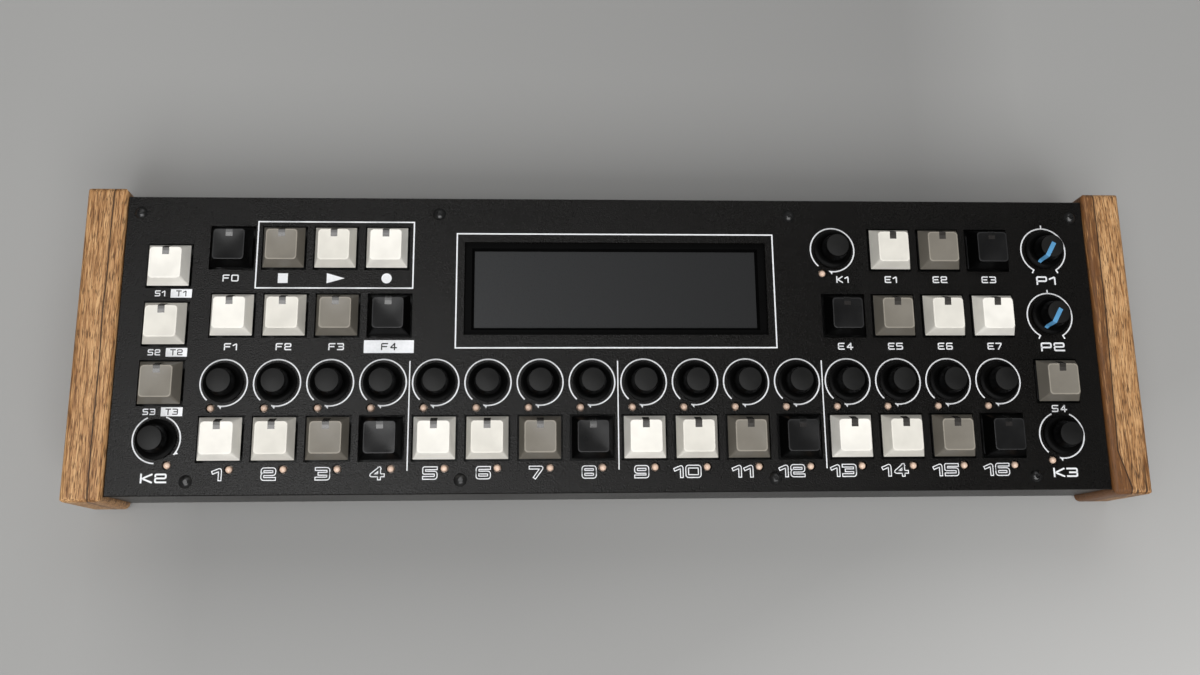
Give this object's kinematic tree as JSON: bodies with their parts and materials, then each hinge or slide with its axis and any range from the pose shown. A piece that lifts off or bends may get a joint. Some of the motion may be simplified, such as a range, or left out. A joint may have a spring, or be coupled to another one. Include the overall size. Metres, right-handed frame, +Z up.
{
  "type": "music step sequencer",
  "caption": "Desktop music step sequencer: sloped black panel between wooden cheeks, a row of turning encoder knobs above a row of step keys, function keys and a recessed display.",
  "frame": {"origin": "on the table, under the middle of the case's outer box", "axes": "+X to the player's right, +Y to the back, +Z up"},
  "size_m": [0.4766, 0.138, 0.0617],
  "materials": {
    "case_paint": "fine textured black powder coat",
    "panel_paint": "fine textured black powder coat with white print",
    "cheek_wood": "oiled mid-brown wood, grain along the length",
    "black_screw": "blackened steel",
    "foot_rubber": "matt black rubber",
    "board": "black circuit board",
    "switch_plastic": "black moulded plastic",
    "encoder_metal": "plated metal",
    "lamp": "peach tinted lamp, unlit",
    "screen": "dark grey display glass, unlit",
    "frame_plastic": "matt black",
    "socket_plastic": "black moulded plastic",
    "cable": "grey ribbon cable",
    "cap_white": "white keycap, fine matt grain",
    "cap_light": "light grey keycap, fine matt grain",
    "cap_taupe": "mid grey keycap, fine matt grain",
    "cap_black": "black keycap, satin",
    "knob_plastic": "black moulded knob, satin",
    "pot_knob_plastic": "black moulded knob with a blue pointer line"
  },
  "bodies": {
    "case": {"base_tray": "case_paint", "top_panel": "panel_paint", "left_cheek": "cheek_wood", "right_cheek": "cheek_wood", "case_screws": "black_screw", "rubber_feet": "foot_rubber", "control_board": "board", "key_switches": "switch_plastic", "encoder_bodies": "encoder_metal", "lamps": "lamp", "display_module": "screen", "display_frame": "frame_plastic", "interface_board": "board", "rear_sockets": "socket_plastic", "ribbon_cable": "cable"},
    "step_key_1": {"step_key_1": "cap_white"},
    "step_key_2": {"step_key_2": "cap_light"},
    "step_key_3": {"step_key_3": "cap_taupe"},
    "step_key_4": {"step_key_4": "cap_black"},
    "step_key_5": {"step_key_5": "cap_white"},
    "step_key_6": {"step_key_6": "cap_light"},
    "step_key_7": {"step_key_7": "cap_taupe"},
    "step_key_8": {"step_key_8": "cap_black"},
    "step_key_9": {"step_key_9": "cap_white"},
    "step_key_10": {"step_key_10": "cap_light"},
    "step_key_11": {"step_key_11": "cap_taupe"},
    "step_key_12": {"step_key_12": "cap_black"},
    "step_key_13": {"step_key_13": "cap_white"},
    "step_key_14": {"step_key_14": "cap_light"},
    "step_key_15": {"step_key_15": "cap_taupe"},
    "step_key_16": {"step_key_16": "cap_black"},
    "side_keys": {"side_keys": "cap_light"},
    "shift_key": {"shift_key": "cap_black"},
    "transport_keys": {"transport_keys": "cap_light"},
    "mode_keys": {"mode_keys": "cap_white"},
    "upper_edit_keys": {"upper_edit_keys": "cap_light"},
    "lower_edit_keys": {"lower_edit_keys": "cap_light"},
    "gang_key": {"gang_key": "cap_taupe"},
    "step_knob_1": {"step_knob_1": "knob_plastic"},
    "step_knob_2": {"step_knob_2": "knob_plastic"},
    "step_knob_3": {"step_knob_3": "knob_plastic"},
    "step_knob_4": {"step_knob_4": "knob_plastic"},
    "step_knob_5": {"step_knob_5": "knob_plastic"},
    "step_knob_6": {"step_knob_6": "knob_plastic"},
    "step_knob_7": {"step_knob_7": "knob_plastic"},
    "step_knob_8": {"step_knob_8": "knob_plastic"},
    "step_knob_9": {"step_knob_9": "knob_plastic"},
    "step_knob_10": {"step_knob_10": "knob_plastic"},
    "step_knob_11": {"step_knob_11": "knob_plastic"},
    "step_knob_12": {"step_knob_12": "knob_plastic"},
    "step_knob_13": {"step_knob_13": "knob_plastic"},
    "step_knob_14": {"step_knob_14": "knob_plastic"},
    "step_knob_15": {"step_knob_15": "knob_plastic"},
    "step_knob_16": {"step_knob_16": "knob_plastic"},
    "row_knob": {"row_knob": "knob_plastic"},
    "bar_knob": {"bar_knob": "knob_plastic"},
    "value_push_rod": {"value_push_rod": "encoder_metal"},
    "value_knob": {"value_knob": "knob_plastic"},
    "pot_knob_a": {"pot_knob_a": "pot_knob_plastic"},
    "pot_knob_b": {"pot_knob_b": "pot_knob_plastic"}
  },
  "joints": [
    {"name": "step_key_1_press", "type": "slide", "parent": "case", "child": "step_key_1", "axis": [0, 0.0523, -0.9986], "range_m": [0, 0.004], "stiffness_N_per_m": 150, "springref_m": -0.002},
    {"name": "step_key_2_press", "type": "slide", "parent": "case", "child": "step_key_2", "axis": [0, 0.0523, -0.9986], "range_m": [0, 0.004], "stiffness_N_per_m": 150, "springref_m": -0.002},
    {"name": "step_key_3_press", "type": "slide", "parent": "case", "child": "step_key_3", "axis": [0, 0.0523, -0.9986], "range_m": [0, 0.004], "stiffness_N_per_m": 150, "springref_m": -0.002},
    {"name": "step_key_4_press", "type": "slide", "parent": "case", "child": "step_key_4", "axis": [0, 0.0523, -0.9986], "range_m": [0, 0.004], "stiffness_N_per_m": 150, "springref_m": -0.002},
    {"name": "step_key_5_press", "type": "slide", "parent": "case", "child": "step_key_5", "axis": [0, 0.0523, -0.9986], "range_m": [0, 0.004], "stiffness_N_per_m": 150, "springref_m": -0.002},
    {"name": "step_key_6_press", "type": "slide", "parent": "case", "child": "step_key_6", "axis": [0, 0.0523, -0.9986], "range_m": [0, 0.004], "stiffness_N_per_m": 150, "springref_m": -0.002},
    {"name": "step_key_7_press", "type": "slide", "parent": "case", "child": "step_key_7", "axis": [0, 0.0523, -0.9986], "range_m": [0, 0.004], "stiffness_N_per_m": 150, "springref_m": -0.002},
    {"name": "step_key_8_press", "type": "slide", "parent": "case", "child": "step_key_8", "axis": [0, 0.0523, -0.9986], "range_m": [0, 0.004], "stiffness_N_per_m": 150, "springref_m": -0.002},
    {"name": "step_key_9_press", "type": "slide", "parent": "case", "child": "step_key_9", "axis": [0, 0.0523, -0.9986], "range_m": [0, 0.004], "stiffness_N_per_m": 150, "springref_m": -0.002},
    {"name": "step_key_10_press", "type": "slide", "parent": "case", "child": "step_key_10", "axis": [0, 0.0523, -0.9986], "range_m": [0, 0.004], "stiffness_N_per_m": 150, "springref_m": -0.002},
    {"name": "step_key_11_press", "type": "slide", "parent": "case", "child": "step_key_11", "axis": [0, 0.0523, -0.9986], "range_m": [0, 0.004], "stiffness_N_per_m": 150, "springref_m": -0.002},
    {"name": "step_key_12_press", "type": "slide", "parent": "case", "child": "step_key_12", "axis": [0, 0.0523, -0.9986], "range_m": [0, 0.004], "stiffness_N_per_m": 150, "springref_m": -0.002},
    {"name": "step_key_13_press", "type": "slide", "parent": "case", "child": "step_key_13", "axis": [0, 0.0523, -0.9986], "range_m": [0, 0.004], "stiffness_N_per_m": 150, "springref_m": -0.002},
    {"name": "step_key_14_press", "type": "slide", "parent": "case", "child": "step_key_14", "axis": [0, 0.0523, -0.9986], "range_m": [0, 0.004], "stiffness_N_per_m": 150, "springref_m": -0.002},
    {"name": "step_key_15_press", "type": "slide", "parent": "case", "child": "step_key_15", "axis": [0, 0.0523, -0.9986], "range_m": [0, 0.004], "stiffness_N_per_m": 150, "springref_m": -0.002},
    {"name": "step_key_16_press", "type": "slide", "parent": "case", "child": "step_key_16", "axis": [0, 0.0523, -0.9986], "range_m": [0, 0.004], "stiffness_N_per_m": 150, "springref_m": -0.002},
    {"name": "side_keys_press", "type": "slide", "parent": "case", "child": "side_keys", "axis": [0, 0.0523, -0.9986], "range_m": [0, 0.004], "stiffness_N_per_m": 450, "springref_m": -0.002},
    {"name": "shift_key_press", "type": "slide", "parent": "case", "child": "shift_key", "axis": [0, 0.0523, -0.9986], "range_m": [0, 0.004], "stiffness_N_per_m": 150, "springref_m": -0.002},
    {"name": "transport_keys_press", "type": "slide", "parent": "case", "child": "transport_keys", "axis": [0, 0.0523, -0.9986], "range_m": [0, 0.004], "stiffness_N_per_m": 450, "springref_m": -0.002},
    {"name": "mode_keys_press", "type": "slide", "parent": "case", "child": "mode_keys", "axis": [0, 0.0523, -0.9986], "range_m": [0, 0.004], "stiffness_N_per_m": 600, "springref_m": -0.002},
    {"name": "upper_edit_keys_press", "type": "slide", "parent": "case", "child": "upper_edit_keys", "axis": [0, 0.0523, -0.9986], "range_m": [0, 0.004], "stiffness_N_per_m": 450, "springref_m": -0.002},
    {"name": "lower_edit_keys_press", "type": "slide", "parent": "case", "child": "lower_edit_keys", "axis": [0, 0.0523, -0.9986], "range_m": [0, 0.004], "stiffness_N_per_m": 600, "springref_m": -0.002},
    {"name": "gang_key_press", "type": "slide", "parent": "case", "child": "gang_key", "axis": [0, 0.0523, -0.9986], "range_m": [0, 0.004], "stiffness_N_per_m": 150, "springref_m": -0.002},
    {"name": "step_knob_1_turn", "type": "hinge", "parent": "case", "child": "step_knob_1", "pos_m": [-0.1725, -0.01878, 0.04752], "axis": [0, 0.0523, -0.9986], "continuous": true},
    {"name": "step_knob_2_turn", "type": "hinge", "parent": "case", "child": "step_knob_2", "pos_m": [-0.1495, -0.01878, 0.04752], "axis": [0, 0.0523, -0.9986], "continuous": true},
    {"name": "step_knob_3_turn", "type": "hinge", "parent": "case", "child": "step_knob_3", "pos_m": [-0.1265, -0.01878, 0.04752], "axis": [0, 0.0523, -0.9986], "continuous": true},
    {"name": "step_knob_4_turn", "type": "hinge", "parent": "case", "child": "step_knob_4", "pos_m": [-0.1035, -0.01878, 0.04752], "axis": [0, 0.0523, -0.9986], "continuous": true},
    {"name": "step_knob_5_turn", "type": "hinge", "parent": "case", "child": "step_knob_5", "pos_m": [-0.0805, -0.01878, 0.04752], "axis": [0, 0.0523, -0.9986], "continuous": true},
    {"name": "step_knob_6_turn", "type": "hinge", "parent": "case", "child": "step_knob_6", "pos_m": [-0.0575, -0.01878, 0.04752], "axis": [0, 0.0523, -0.9986], "continuous": true},
    {"name": "step_knob_7_turn", "type": "hinge", "parent": "case", "child": "step_knob_7", "pos_m": [-0.0345, -0.01878, 0.04752], "axis": [0, 0.0523, -0.9986], "continuous": true},
    {"name": "step_knob_8_turn", "type": "hinge", "parent": "case", "child": "step_knob_8", "pos_m": [-0.0115, -0.01878, 0.04752], "axis": [0, 0.0523, -0.9986], "continuous": true},
    {"name": "step_knob_9_turn", "type": "hinge", "parent": "case", "child": "step_knob_9", "pos_m": [0.0115, -0.01878, 0.04752], "axis": [0, 0.0523, -0.9986], "continuous": true},
    {"name": "step_knob_10_turn", "type": "hinge", "parent": "case", "child": "step_knob_10", "pos_m": [0.0345, -0.01878, 0.04752], "axis": [0, 0.0523, -0.9986], "continuous": true},
    {"name": "step_knob_11_turn", "type": "hinge", "parent": "case", "child": "step_knob_11", "pos_m": [0.0575, -0.01878, 0.04752], "axis": [0, 0.0523, -0.9986], "continuous": true},
    {"name": "step_knob_12_turn", "type": "hinge", "parent": "case", "child": "step_knob_12", "pos_m": [0.0805, -0.01878, 0.04752], "axis": [0, 0.0523, -0.9986], "continuous": true},
    {"name": "step_knob_13_turn", "type": "hinge", "parent": "case", "child": "step_knob_13", "pos_m": [0.1035, -0.01878, 0.04752], "axis": [0, 0.0523, -0.9986], "continuous": true},
    {"name": "step_knob_14_turn", "type": "hinge", "parent": "case", "child": "step_knob_14", "pos_m": [0.1265, -0.01878, 0.04752], "axis": [0, 0.0523, -0.9986], "continuous": true},
    {"name": "step_knob_15_turn", "type": "hinge", "parent": "case", "child": "step_knob_15", "pos_m": [0.1495, -0.01878, 0.04752], "axis": [0, 0.0523, -0.9986], "continuous": true},
    {"name": "step_knob_16_turn", "type": "hinge", "parent": "case", "child": "step_knob_16", "pos_m": [0.1725, -0.01878, 0.04752], "axis": [0, 0.0523, -0.9986], "continuous": true},
    {"name": "row_knob_turn", "type": "hinge", "parent": "case", "child": "row_knob", "pos_m": [-0.1995, -0.04294, 0.04625], "axis": [0, 0.0523, -0.9986], "continuous": true},
    {"name": "bar_knob_turn", "type": "hinge", "parent": "case", "child": "bar_knob", "pos_m": [0.1995, -0.04294, 0.04625], "axis": [0, 0.0523, -0.9986], "continuous": true},
    {"name": "value_push", "type": "slide", "parent": "case", "child": "value_push_rod", "axis": [0, 0.0523, -0.9986], "range_m": [0, 0.0005], "stiffness_N_per_m": 4000, "springref_m": -0.0004},
    {"name": "value_knob_turn", "type": "hinge", "parent": "value_push_rod", "child": "value_knob", "pos_m": [0.1, 0.04154, 0.05068], "axis": [0, 0.0523, -0.9986], "continuous": true},
    {"name": "pot_knob_a_turn", "type": "hinge", "parent": "case", "child": "pot_knob_a", "pos_m": [0.1995, 0.04154, 0.05068], "axis": [0, 0.0523, -0.9986], "range_deg": [0, 300]},
    {"name": "pot_knob_b_turn", "type": "hinge", "parent": "case", "child": "pot_knob_b", "pos_m": [0.1995, 0.01098, 0.04908], "axis": [0, 0.0523, -0.9986], "range_deg": [0, 300]}
  ]
}
